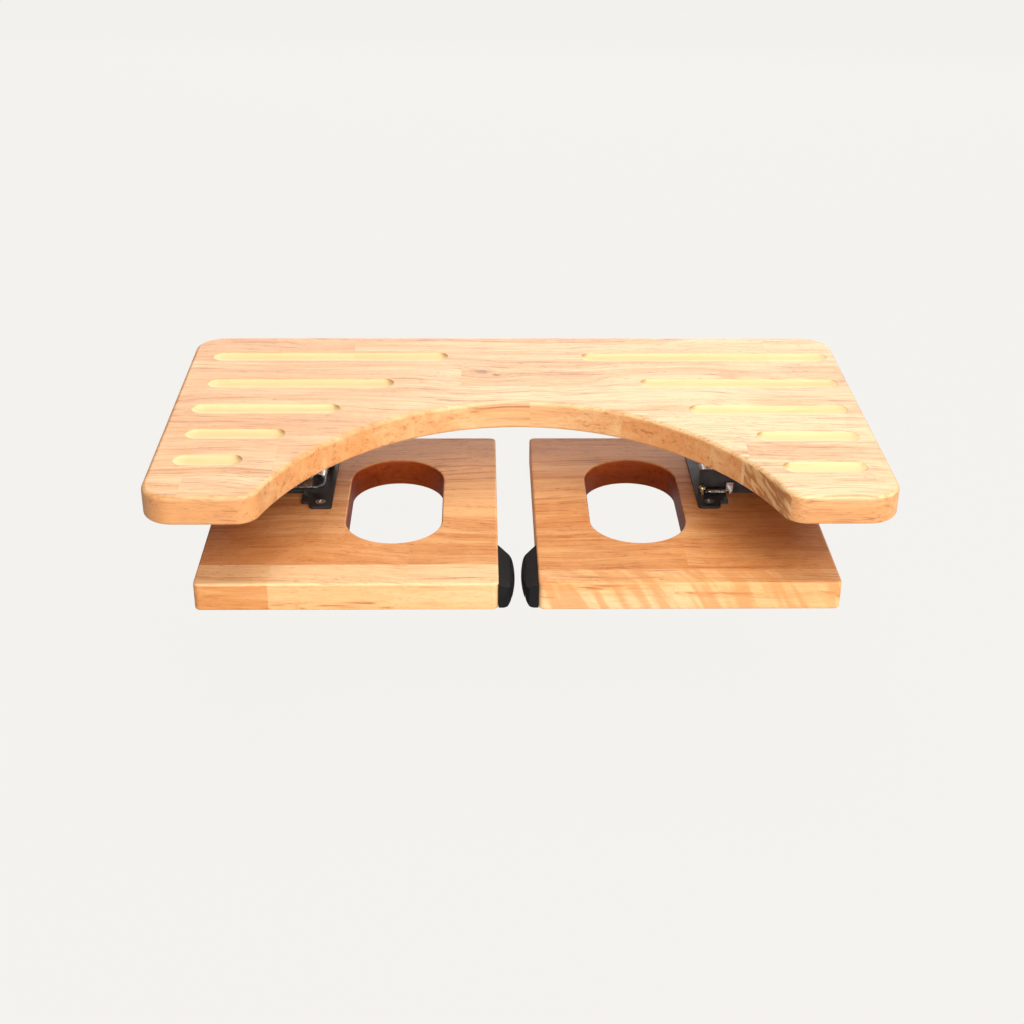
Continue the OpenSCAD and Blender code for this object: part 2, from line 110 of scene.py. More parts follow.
class Nodes:
    """A material's node tree, with short ways to add what the finishes need."""

    def __init__(self, name):
        self.mat = bpy.data.materials.new(name)
        self.mat.use_nodes = True
        self.tree = self.mat.node_tree
        self.tree.nodes.clear()
        out = self.tree.nodes.new("ShaderNodeOutputMaterial")
        self.bsdf = self.tree.nodes.new("ShaderNodeBsdfPrincipled")
        self.tree.links.new(self.bsdf.outputs[0], out.inputs[0])
        self.at = self.tree.nodes.new("ShaderNodeTexCoord").outputs["Object"]

    def put(self, socket, value):
        if isinstance(value, bpy.types.NodeSocket):
            self.tree.links.new(value, socket)
        elif value is not None:
            if isinstance(value, (tuple, list)) and len(value) == 3 and socket.type == "RGBA":
                value = (*value, 1)
            socket.default_value = value

    def set(self, name, value):
        self.put(self.bsdf.inputs[name], value)

    def math(self, op, a, b=None):
        n = self.tree.nodes.new("ShaderNodeMath")
        n.operation = op
        self.put(n.inputs[0], a)
        self.put(n.inputs[1], b)
        return n.outputs[0]

    def add(self, a, b):
        return self.math("ADD", a, b)

    def sub(self, a, b):
        return self.math("SUBTRACT", a, b)

    def mul(self, a, b):
        return self.math("MULTIPLY", a, b)

    def swing(self, noise, amount):
        """A noise moved to lie about zero and scaled."""
        return self.mul(self.sub(noise, 0.5), amount)

    def vec(self, op, a, b=None):
        n = self.tree.nodes.new("ShaderNodeVectorMath")
        n.operation = op
        self.put(n.inputs[0], a)
        self.put(n.inputs[1], b)
        return n.outputs["Value" if op == "LENGTH" else 0]

    def join(self, x, y, z):
        n = self.tree.nodes.new("ShaderNodeCombineXYZ")
        for i, v in enumerate((x, y, z)):
            self.put(n.inputs[i], v)
        return n.outputs[0]

    def split(self, v):
        n = self.tree.nodes.new("ShaderNodeSeparateXYZ")
        self.put(n.inputs[0], v)
        return n.outputs

    def noise(self, v, scale, detail=3, rough=0.55, warp=0):
        n = self.tree.nodes.new("ShaderNodeTexNoise")
        self.put(n.inputs["Vector"], v)
        n.inputs["Scale"].default_value = scale
        n.inputs["Detail"].default_value = detail
        n.inputs["Roughness"].default_value = rough
        n.inputs["Distortion"].default_value = warp
        return n.outputs[0]

    def white(self, v):
        n = self.tree.nodes.new("ShaderNodeTexWhiteNoise")
        self.put(n.inputs["Vector"], v)
        return n.outputs["Color"]

    def cells(self, v, scale):
        n = self.tree.nodes.new("ShaderNodeTexVoronoi")
        self.put(n.inputs["Vector"], v)
        n.inputs["Scale"].default_value = scale
        return n.outputs["Distance"]

    def ramp(self, x, low, high, to_low=0.0, to_high=1.0):
        n = self.tree.nodes.new("ShaderNodeMapRange")
        n.interpolation_type = "SMOOTHSTEP"
        for i, v in enumerate((x, low, high, to_low, to_high)):
            self.put(n.inputs[i], v)
        return n.outputs[0]

    def mix(self, share, a, b, kind="MIX"):
        n = self.tree.nodes.new("ShaderNodeMix")
        n.data_type = "RGBA"
        n.blend_type = kind
        self.put(n.inputs["Factor"], share)
        self.put(n.inputs[6], a)
        self.put(n.inputs[7], b)
        return n.outputs[2]

    def cover(self, colour, mask, amount, other):
        """A colour covered by another one where the mask is 1, by the given amount."""
        return self.mix(self.mul(mask, amount), colour, other)

    def bump(self, height, distance, strength):
        n = self.tree.nodes.new("ShaderNodeBump")
        n.inputs["Strength"].default_value = strength
        n.inputs["Distance"].default_value = distance
        self.put(n.inputs["Height"], height)
        self.put(self.bsdf.inputs["Normal"], n.outputs[0])

    def attribute(self, name):
        n = self.tree.nodes.new("ShaderNodeAttribute")
        n.attribute_name = name
        return n.outputs["Fac"]


# ---------- wood ----------

PALEST_WOOD = (0.90, 0.62, 0.35)
GROOVE_END_SHADE = (0.36, 0.14, 0.035)                                  # painted shade at a groove's inner end and along its front rim
KNOT = (0.24, 0.06, 0.015)
HOLE_WALL_SHADE = (0.36, 0.10, 0.006)                              # painted shade for the hand holes' walls, which lie in shadow
STEEP_STRIPE = (0.58, 0.46, 0.36)
GROOVE_FIBRE = (0.86, 0.74, 0.6)
STAVE_SHIFT = 0.0137                                         # keeps each board's staves at their own places
STEEP_RUN, STEEP_RISE = 0.85, 0.52                           # cosine and sine of the steep blocks' grain


class Wood(Nodes):
    """Lacquered rubberwood glued from staves that run along X, each butted from shorter blocks."""

    def __init__(self, name, pale, deep, streak):
        super().__init__(name)
        self.pale, self.deep, self.streak = pale, deep, streak
        self.xyz = self.split(self.at)
        self.x, self.y, self.z = self.xyz

    def inside(self, low, high):
        """1 inside a box of the board's own frame, 0 outside."""
        mask = None
        for axis in range(3):
            between = self.mul(self.math("GREATER_THAN", self.xyz[axis], low[axis]),
                               self.math("LESS_THAN", self.xyz[axis], high[axis]))
            mask = between if mask is None else self.mul(mask, between)
        return mask

    def glue_up(self, seed, stave_w, block_length):
        """Staves across the board and blocks along each stave, with random values for each block."""
        across = self.add(self.y, 1 + seed * STAVE_SHIFT)
        row = self.math("FLOOR", self.math("DIVIDE", across, stave_w))
        row_random = self.split(self.white(self.join(row, seed, 3.7)))
        column = self.math("FLOOR", self.add(self.math("DIVIDE", self.x, block_length),
                                             self.mul(row_random[0], 7.0)))
        self.block = self.split(self.white(self.join(row, column, seed + 0.5)))
        seam = self.math("PINGPONG", across, stave_w / 2)
        self.glue = self.ramp(seam, 0.0001, 0.0005, 1, 0)

    def from_knot(self, x, y):
        """Distance from a knot, with circles drawn out along the grain."""
        offset = self.vec("SUBTRACT", self.at, (x, y, 0))
        return self.vec("LENGTH", self.vec("MULTIPLY", offset, (0.45, 1.0, 0.0)))

    def run_grain(self, flips, knots):
        """A frame that follows the fibres: along them, across them, and across them in depth."""
        # each block's grain leans a little its own way
        lean = self.swing(self.block[2], 0.11)
        bend = self.swing(self.noise(self.at, 5.0, 2), 0.05)
        along = self.x
        across = self.add(self.add(self.y, self.mul(self.x, lean)), bend)
        depth = self.add(self.add(self.z, self.mul(self.x, self.mul(lean, 0.5))), self.mul(bend, 0.3))
        for x, y, size in knots:
            push = self.ramp(self.from_knot(x, y), 0.0, size * 5, 1, 0)
            across = self.sub(across, self.mul(push, self.mul(self.sub(self.y, y), 0.7)))
        self.steep = None
        for low, high in flips:
            mask = self.inside(low, high)
            self.steep = mask if self.steep is None else self.math("MAXIMUM", self.steep, mask)
        if self.steep is not None:
            # the fibres rise across the block instead of along it
            rise = self.add(self.mul(self.x, STEEP_RUN), self.mul(self.z, STEEP_RISE))
            fall = self.sub(self.mul(self.x, STEEP_RISE), self.mul(self.z, STEEP_RUN))
            level = self.sub(1, self.steep)
            risen = self.mul(rise, self.steep)
            depth = self.add(self.mul(depth, level), risen)
            across = self.add(self.mul(across, self.sub(1, self.mul(self.steep, 0.7))), risen)
            along = self.add(self.mul(self.x, level), self.mul(fall, self.steep))
        shift = self.join(self.mul(self.block[0], 9.0), self.mul(self.block[1], 7.0),
                          self.mul(self.block[2], 5.0))
        self.grain = self.vec("ADD", self.join(along, across, depth), shift)

    def streaky(self, along, across, detail, rough, warp=0):
        """Noise drawn out along the fibres: its waves per metre along them and across them."""
        stretched = self.vec("MULTIPLY", self.grain, (along, across, across))
        return self.noise(stretched, 1.0, detail, rough, warp)

    def grow(self):
        """The figure at each scale, from broad bands to single fibres and pores."""
        self.broad = self.streaky(3.2, 34, 3, 0.5, 0.6)
        self.rings = self.streaky(4.5, 120, 4, 0.6, 0.8)
        self.fine = self.streaky(14, 420, 5, 0.65, 0.3)
        self.thread = self.streaky(24, 850, 3, 0.6, 0.3)
        self.fibre = self.streaky(60, 1500, 3, 0.7)
        pores = self.streaky(170, 1500, 2, 0.5)
        self.cloud = self.noise(self.at, 9.0, 3)
        # threads and pores are calmer on the sanded side faces
        self.sawn = self.ramp(self.attribute("side"), 0.0, 1.0, 1.0, 0.35)
        open_pores = self.mul(self.ramp(pores, 0.60, 0.70), self.ramp(self.broad, 0.34, 0.55))
        self.dashes = self.mul(open_pores, self.sawn)

    def shade(self, drift, tones):
        """How deep the colour is: from the figure, from the block, and where a shade is given."""
        shade = self.add(self.swing(self.broad, 2.4), self.swing(self.rings, 2.6))
        shade = self.add(shade, self.swing(self.block[0], 0.35))
        shade = self.add(shade, self.swing(self.cloud, 0.9))
        start, start_shade, end, end_shade = drift
        shade = self.add(shade, self.ramp(self.x, start, end, start_shade, end_shade))
        for low, high, tone in tones:
            shade = self.add(shade, self.mul(self.inside(low, high), tone))
        return shade

    def body_colour(self, shade, figure):
        """Colour of the plain wood: its tone, with the streaks of the figure drawn over it."""
        colour = self.mix(self.ramp(shade, -0.8, 0.8), self.pale, self.deep)
        # paler still where the shade falls far below the figure's range; some boxes that reach it are
        # painted light
        colour = self.mix(self.ramp(shade, -2.2, -0.8, 0.6, 0.0), colour, PALEST_WOOD)
        lines = self.mul(self.ramp(self.fine, 0.48, 0.66), self.ramp(self.rings, 0.45, 0.60))
        colour = self.cover(colour, lines, 0.75, self.streak)
        threads = self.mul(self.ramp(self.thread, 0.48, 0.66),
                           self.ramp(self.cloud, 0.38, 0.60, 0.45, 1.0))
        colour = self.cover(colour, self.mul(threads, self.sawn), figure, self.streak)
        colour = self.cover(colour, self.ramp(self.fibre, 0.46, 0.70), 0.22, self.streak)
        return self.cover(colour, self.dashes, 0.7, times(self.streak, 0.55))

    def add_flames(self, colour, boxes):
        """Bands of fiddleback figure that lie across the grain."""
        for low, high in boxes:
            slant = self.add(self.x, self.mul(self.add(self.z, self.y), 0.55))
            waves = self.vec("MULTIPLY", self.join(slant, self.y, self.z), (95, 18, 18))
            band = self.ramp(self.noise(waves, 1.0, 2, 0.45, 0.5), 0.42, 0.60)
            colour = self.cover(colour, self.mul(band, self.inside(low, high)), 0.6, self.deep)
        return colour

    def add_joints(self, colour):
        """The glue lines between staves, and the stripes of the blocks with steep grain."""
        colour = self.cover(colour, self.glue, 0.25, times(self.deep, 0.8))
        if self.steep is not None:
            bands = self.vec("MULTIPLY", self.grain, (9, 330, 330))
            stripes = self.ramp(self.noise(bands, 1.0, 2, 0.5, 0.4), 0.40, 0.58, 0.0, 0.9)
            colour = self.cover(colour, self.steep, stripes, times(self.deep, STEEP_STRIPE))
        return colour

    def add_knots(self, colour, knots):
        for x, y, size in knots:
            wobble = self.mul(self.noise(self.at, 160.0, 3), size * 1.6)
            core = self.ramp(self.add(self.from_knot(x, y), wobble), size * 0.8, size * 1.9, 1, 0)
            colour = self.cover(colour, core, 0.85, KNOT)
        return colour

    def add_grooves(self, colour, groove):
        """Fresh-cut wood inside the grooves, with painted shade at their inner ends and along their front
        rims.
        """
        grooved = self.mix(self.ramp(self.rings, 0.3, 0.7), groove, times(groove, 0.9))
        grooved = self.cover(grooved, self.ramp(self.fibre, 0.5, 0.75), 0.2,
                             times(groove, GROOVE_FIBRE))
        colour = self.cover(colour, self.ramp(self.attribute("groove"), 0.12, 0.5), 0.85, grooved)
        # painted shade in the grooves' inner ends and along their front rims
        return self.cover(colour, self.ramp(self.attribute("groove_shade"), 0.08, 0.62), 0.9, GROOVE_END_SHADE)

    def add_faces(self, colour, side_shade):
        """Painted shade on the side faces and on the hole's wall, and a painted highlight in patches along
        the rounded edges.
        """
        # painted shade: the side faces darkened by a colour multiplied in
        colour = self.mix(self.attribute("side"), colour, side_shade, "MULTIPLY")
        # painted shade: the hand hole's wall darkened
        colour = self.mix(self.ramp(self.attribute("wall"), 0.1, 0.9), colour, HOLE_WALL_SHADE, "MULTIPLY")
        # painted highlight: paler patches along the rounded edges
        edge_highlight = self.mul(self.attribute("edge"), self.ramp(self.noise(self.at, 70.0, 3), 0.42, 0.62))
        return self.cover(colour, edge_highlight, 0.22, times(self.pale, 1.12))

    def lacquer(self, colour, gloss):
        self.set("Base Color", colour)
        self.set("Roughness", self.add(self.ramp(self.fine, 0.3, 0.75, -0.05, 0.09), 0.42))
        self.bsdf.inputs["Specular IOR Level"].default_value = gloss
        self.bsdf.inputs["Coat Weight"].default_value = gloss * 0.24
        self.bsdf.inputs["Coat Roughness"].default_value = 0.3
        relief = self.sub(self.mul(self.fibre, 0.35), self.dashes)
        self.bump(self.add(relief, self.mul(self.fine, 0.4)), 0.00012, 0.55)


def wood(name, colours, seed, stave_w, block_length, drift, tones=(), flips=(), flames=(),
         knots=(), groove=None, side_shade=(1, 1, 1), gloss=0.5, figure=0.40):
    """colours: pale, deep and streak. drift: (x, shade, x, shade), a slow change of shade along
    the board. tones: (low corner, high corner, shade) boxes of a given shade; some are the wood's
    own blocks and some are painted light and shade. flips: boxes whose blocks have steep,
    striped grain. flames: boxes with bands across the grain. knots: (x, y, size). The side
    faces are darkened by painted shade, a colour multiplied in."""
    k = Wood(name, *colours)
    k.glue_up(seed, stave_w, block_length)
    k.run_grain(flips, knots)
    k.grow()
    colour = k.body_colour(k.shade(drift, tones), figure)
    colour = k.add_joints(k.add_flames(colour, flames))
    colour = k.add_knots(colour, knots)
    if groove is not None:
        colour = k.add_grooves(colour, groove)
    k.lacquer(k.add_faces(colour, side_shade), gloss)
    return k.mat


# ---------- metals, plastic, rubber ----------

DIRT = (0.05, 0.04, 0.03)
DUST = (0.16, 0.12, 0.09)


def metal(name, colour, rough, dirt_amount=0.25, relief=0.00001):
    k = Nodes(name)
    smear = k.noise(k.at, 260.0, 4, 0.6)
    fine = k.noise(k.vec("MULTIPLY", k.at, (1, 1, 4)), 500.0, 2)
    spots = k.ramp(k.noise(k.at, 500.0, 3), 0.62, 0.74)
    base = k.mix(k.ramp(smear, 0.35, 0.7), colour, times(colour, 0.72))
    k.set("Base Color", k.cover(base, spots, dirt_amount, DIRT))
    k.bsdf.inputs["Metallic"].default_value = 1.0
    k.set("Roughness", k.add(k.ramp(smear, 0.3, 0.7, -0.06, 0.12), rough))
    k.bump(k.add(fine, smear), relief, 0.3)
    return k.mat


def painted_steel(name):
    k = Nodes(name)
    peel = k.noise(k.at, 900.0, 3)
    smear = k.noise(k.at, 120.0, 4)
    dust = k.ramp(k.noise(k.at, 420.0, 5, 0.7), 0.56, 0.78)
    base = k.mix(k.ramp(smear, 0.3, 0.7), (0.012, 0.010, 0.010), (0.028, 0.023, 0.022))
    k.set("Base Color", k.cover(base, dust, 0.18, DUST))
    k.set("Roughness", k.ramp(smear, 0.3, 0.7, 0.34, 0.50))
    k.bsdf.inputs["Specular IOR Level"].default_value = 0.3
    k.bump(peel, 0.00006, 0.5)
    return k.mat


def plastic(name, dark, light, rough, grain_scale, depth):
    k = Nodes(name)
    leather = k.cells(k.at, grain_scale)
    smear = k.noise(k.at, 90.0, 4)
    scuff = k.ramp(k.noise(k.vec("MULTIPLY", k.at, (1, 3, 1)), 500.0, 4, 0.7), 0.62, 0.76)
    base = k.mix(k.ramp(smear, 0.3, 0.7), dark, light)
    k.set("Base Color", k.cover(base, scuff, 0.20, times(light, 3)))
    k.set("Roughness", k.add(k.ramp(smear, 0.3, 0.7, -0.06, 0.08), rough))
    k.bsdf.inputs["Specular IOR Level"].default_value = 0.12
    k.bump(leather, depth, 0.5)
    return k.mat


# ---------- mesh helpers ----------

ROUND_STEPS = 6                                              # faces over a rounded edge
BALL_SHARES = (0.9, 0.78, 0.64, 0.5, 0.36, 0.22, 0.1, 0.0)   # rings of a groove's bottom, rim to middle


def add_piece(name, mesh, mat, body, node):
    obj = bpy.data.objects.new(name, mesh)
    scene.collection.objects.link(obj)
    mesh.materials.append(mat)
    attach(obj, body)
    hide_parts(node)
    return obj


def arc(cx, cy, r, start, end, step=1.4 * MM):
    """Points on a circle with the direction away from its centre, from one angle to another."""
    count = max(2, ceil(abs(end - start) * r / step))
    angles = [start + (end - start) * i / count for i in range(count + 1)]
    return [((cx + r * cos(a), cy + r * sin(a)), (cos(a), sin(a))) for a in angles]


def line(a, b, step=6 * MM):
    """Points strictly between two points of an outline, with the outward normal on the right."""
    d = Vector(b) - Vector(a)
    normal = (d.y / d.length, -d.x / d.length)
    count = max(2, ceil(d.length / step))
    return [((a[0] + d.x * i / count, a[1] + d.y * i / count), normal) for i in range(1, count)]


def facing_in(part):
    return [(p, (-n[0], -n[1])) for p, n in part]


def apart(p, q):
    return (Vector(p) - Vector(q)).length


def closed(parts, longest_gap=4 * MM, same_point=0.01 * MM):
    """Joins arcs given in order into one loop, with straight runs between them."""
    loop = []
    for i, part in enumerate(parts):
        loop += part
        following = parts[(i + 1) % len(parts)][0][0]
        if apart(following, part[-1][0]) > longest_gap:
            loop += line(part[-1][0], following)
    single = []
    for p, n in loop:
        if not single or apart(p, single[-1][0]) > same_point:
            single.append((p, n))
    if apart(single[0][0], single[-1][0]) < same_point:
        single.pop()
    return single


def groove_section(width, depth, fillet):
    """Half a groove's section as (distance from its middle, height, tilt), and its two radii."""
    half = width / 2
    ball = (half * half + depth * depth) / (2 * depth)
    lift = ball - depth
    rim_r = sqrt((ball + fillet) ** 2 - (lift + fillet) ** 2)
    touch = rim_r * ball / (ball + fillet)
    slope = atan2(touch, sqrt(ball * ball - touch * touch))
    section = []
    for i in range(4):
        a = slope * i / 3
        section.append((rim_r - fillet * sin(a), -fillet * (1 - cos(a)), a))
    for share in BALL_SHARES:
        d = touch * share
        section.append((d, lift - sqrt(ball * ball - d * d), asin(d / ball)))
    return section, touch, rim_r


def groove_path(a0, a1, arc_steps=14, step=8 * MM):
    """Anticlockwise round a slot between two centres on X, as (centre, direction outwards)."""
    runs = max(2, round((a1 - a0) / step))
    path = [(a1, -pi / 2 + pi * i / arc_steps) for i in range(arc_steps + 1)]
    path += [(a1 - (a1 - a0) * i / runs, pi / 2) for i in range(1, runs)]
    path += [(a0, pi / 2 + pi * i / arc_steps) for i in range(arc_steps + 1)]
    path += [(a0 + (a1 - a0) * i / runs, -pi / 2) for i in range(1, runs)]
    return path


class Board:
    """A board built from outlines, with its edges rounded over and exact normals."""

    LABELS = ("edge", "groove", "groove_shade", "side", "wall")     # what the wood is told about each point

    def __init__(self, low_z, high_z, top_r, low_r):
        self.bm = bmesh.new()
        self.low_z, self.high_z, self.top_r, self.low_r = low_z, high_z, top_r, low_r
        self.normals, self.values = [], []
        self.top_edges, self.low_edges = [], []

    def vert(self, co, normal, edge=0.0, groove=0.0, groove_shade=0.0, side=0.0, wall=0.0):
        self.normals.append(Vector(normal).normalized())
        self.values.append((edge, groove, groove_shade, side, wall))
        return self.bm.verts.new(co)

    def rim(self, loop, hole=False):
        """The side wall of an outline, with its two rounded edges. hole: the wood is outside it."""
        turns = [pi / 2 * i / ROUND_STEPS for i in range(ROUND_STEPS + 1)]
        rows = [(self.top_r * (1 - sin(a)), self.high_z - self.top_r * (1 - cos(a)), sin(a), cos(a))
                for a in turns]
        rows += [(self.low_r * (1 - cos(a)), self.low_z + self.low_r * (1 - sin(a)), cos(a), -sin(a))
                 for a in turns]
        rings = []
        for inset, z, out, up in rows:
            label = {"edge": max(0, 1 - abs(abs(up) - 0.7) / 0.7), "wall" if hole else "side": out * out}
            rings.append([self.vert((p[0] - n[0] * inset, p[1] - n[1] * inset, z),
                                    (n[0] * out, n[1] * out, up), **label) for p, n in loop])
        for upper, lower in zip(rings, rings[1:]):
            for i in range(len(loop)):
                j = (i + 1) % len(loop)
                quad = [lower[i], lower[j], upper[j], upper[i]]
                self.bm.faces.new(quad[::-1] if hole else quad)
        self.keep(rings[0], self.top_edges)
        self.keep(rings[-1], self.low_edges)

    def keep(self, ring, store):
        """Keeps a ring's edges for the flat face that ends there."""
        for i in range(len(ring)):
            store.append(self.bm.edges.get((ring[i], ring[(i + 1) % len(ring)])))

    def groove(self, x0, x1, y, width, depth, fillet=0.8 * MM):
        """A round-bottomed groove along X, sunk into the top face."""
        section, touch, rim_r = groove_section(width, depth, fillet)
        path = groove_path(min(x0, x1) + width / 2, max(x0, x1) - width / 2)
        inner_x = min((x0, x1), key=abs)
        rings = []
        for d, z, tilt in section:
            ring = []
            for cx, t in path:
                px = cx + d * cos(t)
                # painted shade: strongest at the inner end on the rear side, with a fainter line along the
                # front rim
                near_end = max(0.0, 1 - abs(px - inner_x) / (7 * MM))
                groove_shade = near_end * (0.2 + 0.8 * max(0.0, sin(t))) * min(1.0, d / touch)
                if sin(t) < -0.6 and d > touch * 0.85:
                    groove_shade = max(groove_shade, 0.3)
                if d >= rim_r:                               # the rim is shared with the flat face
                    groove_shade = 0.0
                ring.append(self.vert((px, y + d * sin(t), self.high_z + z),
                                      (-sin(tilt) * cos(t), -sin(tilt) * sin(t), cos(tilt)),
                                      groove=min(1.0, -z / (1.2 * MM)), groove_shade=groove_shade))
            rings.append(ring)
        for outer, inner in zip(rings, rings[1:]):
            for i in range(len(path)):
                j = (i + 1) % len(path)
                self.bm.faces.new([outer[i], outer[j], inner[j], inner[i]])
        self.keep(rings[0], self.top_edges)

    def mesh(self, name):
        self.bm.verts.index_update()
        for edges, up in ((self.top_edges, 1), (self.low_edges, -1)):
            filled = bmesh.ops.triangle_fill(self.bm, use_beauty=True, use_dissolve=False,
                                             edges=edges, normal=(0, 0, up))
            for f in filled["geom"]:
                if isinstance(f, bmesh.types.BMFace):
                    f.normal_update()
                    if f.normal.z * up < 0:
                        f.normal_flip()
        for f in self.bm.faces:
            f.smooth = True
        mesh = bpy.data.meshes.new(name)
        self.bm.verts.index_update()
        self.bm.to_mesh(mesh)
        self.bm.free()
        for i, label in enumerate(self.LABELS):
            layer = mesh.attributes.new(label, "FLOAT", "POINT")
            layer.data.foreach_set("value", [v[i] for v in self.values])
        mesh.normals_split_custom_set_from_vertices([tuple(n) for n in self.normals])
        return mesh


def refined(node, bevel, segments, bevelled_from=radians(32)):
    """A copy of a CAD node's shape, welded and with its edges broken as the real part's are."""
    bm = bmesh.new()
    bm.from_mesh(frame["nodes"][node].data)
    bmesh.ops.remove_doubles(bm, verts=bm.verts, dist=0.001 * MM)
    bmesh.ops.dissolve_limit(bm, angle_limit=radians(1.0), verts=bm.verts, edges=bm.edges)
    edges = [e for e in bm.edges if len(e.link_faces) == 2 and e.calc_face_angle(0) > bevelled_from]
    bmesh.ops.bevel(bm, geom=edges, offset=bevel, segments=segments, profile=0.5,
                    affect="EDGES", clamp_overlap=True)
    for f in bm.faces:
        f.smooth = True
    mesh = bpy.data.meshes.new(node + "_shape")
    bm.to_mesh(mesh)
    bm.free()
    mesh.set_sharp_from_angle(angle=radians(38))
    return mesh


def refine(node, mat, bevel, segments):
    body = frame["nodes"][node]["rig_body"]
    piece = add_piece(node + "_piece", refined(node, bevel, segments), mat, body, node)
    modifier = piece.modifiers.new("even_normals", "WEIGHTED_NORMAL")
    modifier.keep_sharp = True


def tube(name, points, radius, sides=10):
    """A round wire along a line of points, with closed ends."""
    bm = bmesh.new()
    pts = [Vector(p) for p in points]
    normal = (pts[1] - pts[0]).normalized().orthogonal().normalized()
    rings = []
    for i, p in enumerate(pts):
        ahead = (pts[min(i + 1, len(pts) - 1)] - pts[max(i - 1, 0)]).normalized()
        normal = (normal - ahead * normal.dot(ahead)).normalized()
        other = ahead.cross(normal)
        rings.append([bm.verts.new(p + (normal * cos(t) + other * sin(t)) * radius)
                      for t in (2 * pi * s / sides for s in range(sides))])
    for r0, r1 in zip(rings, rings[1:]):
        for s in range(sides):
            bm.faces.new([r0[s], r0[(s + 1) % sides], r1[(s + 1) % sides], r1[s]])
    bm.faces.new(rings[0][::-1])
    bm.faces.new(rings[-1])
    for f in bm.faces:
        f.smooth = True
    mesh = bpy.data.meshes.new(name)
    bm.to_mesh(mesh)
    bm.free()
    return mesh


# ---------- the boards ----------

TOP_LOW, TOP_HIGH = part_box("top_board")
TOP_CORNER_R = 21 * MM
TOP_EDGE_R, TOP_LOW_EDGE_R = 3.2 * MM, 2.2 * MM
CUT_MID_R, CUT_SIDE_R, LIP_R = 150 * MM, 207 * MM, 16 * MM   # curve of the cut-out, middle to front edge
CUT_JOIN = radians(34)                                       # where its side curves take over
CUT_REACH = 11 * MM                                          # how far it reaches behind the middle
GROOVE_W, GROOVE_DEPTH = 16 * MM, 3 * MM
GROOVES = (                      # left end, right end and place front to back, in mm
    (-225.5, -180.5, -81), (-224, -157, -40.5), (-226, -123.5, 0.5), (-221.5, -88, 45), (-224.5, -50, 95),
    (169.5, 224.5, -92), (159.5, 229, -45), (119, 230, -1.5), (89, 232, 45), (49, 233.5, 94))

LEG_CORNER_R = 4 * MM
LEG_EDGE_R, LEG_LOW_EDGE_R = 1.6 * MM, 1.4 * MM
LEGS_MIDDLE_X = -1.5 * MM
HOLE_X, HOLE_Y = 84.5 * MM, -5.5 * MM                        # middle of a hand hole, from the legs' middle
HOLE_R, HOLE_HALF_STRAIGHT = 33 * MM, 30.5 * MM
FINE_STEP = 0.8 * MM


def top_outline():
    """The top board seen from above, anticlockwise, with the curved cut-out in its front edge."""
    mid_y = CUT_REACH - CUT_MID_R
    side_x = (CUT_SIDE_R - CUT_MID_R) * sin(CUT_JOIN)
    side_y = mid_y - (CUT_SIDE_R - CUT_MID_R) * cos(CUT_JOIN)
    lip_y = -TOP_HIGH.y + LIP_R
    lip_x = sqrt((CUT_SIDE_R + LIP_R) ** 2 - (lip_y - side_y) ** 2) - side_x
    touch = atan2(lip_y - side_y, lip_x + side_x)
    cx, cy = TOP_HIGH.x - TOP_CORNER_R, TOP_HIGH.y - TOP_CORNER_R
    return closed([
        arc(-cx, -cy, TOP_CORNER_R, pi, 1.5 * pi),
        arc(-lip_x, lip_y, LIP_R, -pi / 2, -touch),
        facing_in(arc(side_x, side_y, CUT_SIDE_R, pi - touch, pi / 2 + CUT_JOIN)),
        facing_in(arc(0, mid_y, CUT_MID_R, pi / 2 + CUT_JOIN, pi / 2 - CUT_JOIN)),
        facing_in(arc(-side_x, side_y, CUT_SIDE_R, pi / 2 - CUT_JOIN, touch)),
        arc(lip_x, lip_y, LIP_R, pi + touch, 1.5 * pi),
        arc(cx, -cy, TOP_CORNER_R, -pi / 2, 0),
        arc(cx, cy, TOP_CORNER_R, 0, pi / 2),
        arc(-cx, cy, TOP_CORNER_R, pi / 2, pi)])


def build_top(mat):
    board = Board(TOP_LOW.z, TOP_HIGH.z, TOP_EDGE_R, TOP_LOW_EDGE_R)
    board.rim(top_outline())
    for x0, x1, y in GROOVES:
        board.groove(x0 * MM, x1 * MM, y * MM, GROOVE_W, GROOVE_DEPTH)
    add_piece("board_top", board.mesh("board_top"), mat, "top", "top_board")


def build_leg(side, mat):
    low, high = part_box("leg_board_" + side)
    left, right = low.x + LEG_CORNER_R, high.x - LEG_CORNER_R
    front, back = low.y + LEG_CORNER_R, high.y - LEG_CORNER_R
    board = Board(low.z, high.z, LEG_EDGE_R, LEG_LOW_EDGE_R)
    board.rim(closed([
        arc(right, front, LEG_CORNER_R, -pi / 2, 0, FINE_STEP),
        arc(right, back, LEG_CORNER_R, 0, pi / 2, FINE_STEP),
        arc(left, back, LEG_CORNER_R, pi / 2, pi, FINE_STEP),
        arc(left, front, LEG_CORNER_R, pi, 1.5 * pi, FINE_STEP)]))
    hole_x = LEGS_MIDDLE_X + (HOLE_X if side == "right" else -HOLE_X)
    hole = closed([arc(hole_x, HOLE_Y + HOLE_HALF_STRAIGHT, HOLE_R, 0, pi),
                   arc(hole_x, HOLE_Y - HOLE_HALF_STRAIGHT, HOLE_R, pi, 2 * pi)])
    board.rim(facing_in(hole), hole=True)
    name = "board_leg_" + side
    add_piece(name, board.mesh(name), mat, "leg_" + side, "leg_board_" + side)


# ---------- springs ----------

WIRE_R = 0.34 * MM
HOOK = 2.4 * MM                                              # length of a hook along the spring
HOOK_TURN = pi * 1.25
HOOK_STEPS, COIL_STEPS, COILS = 8, 14, 13


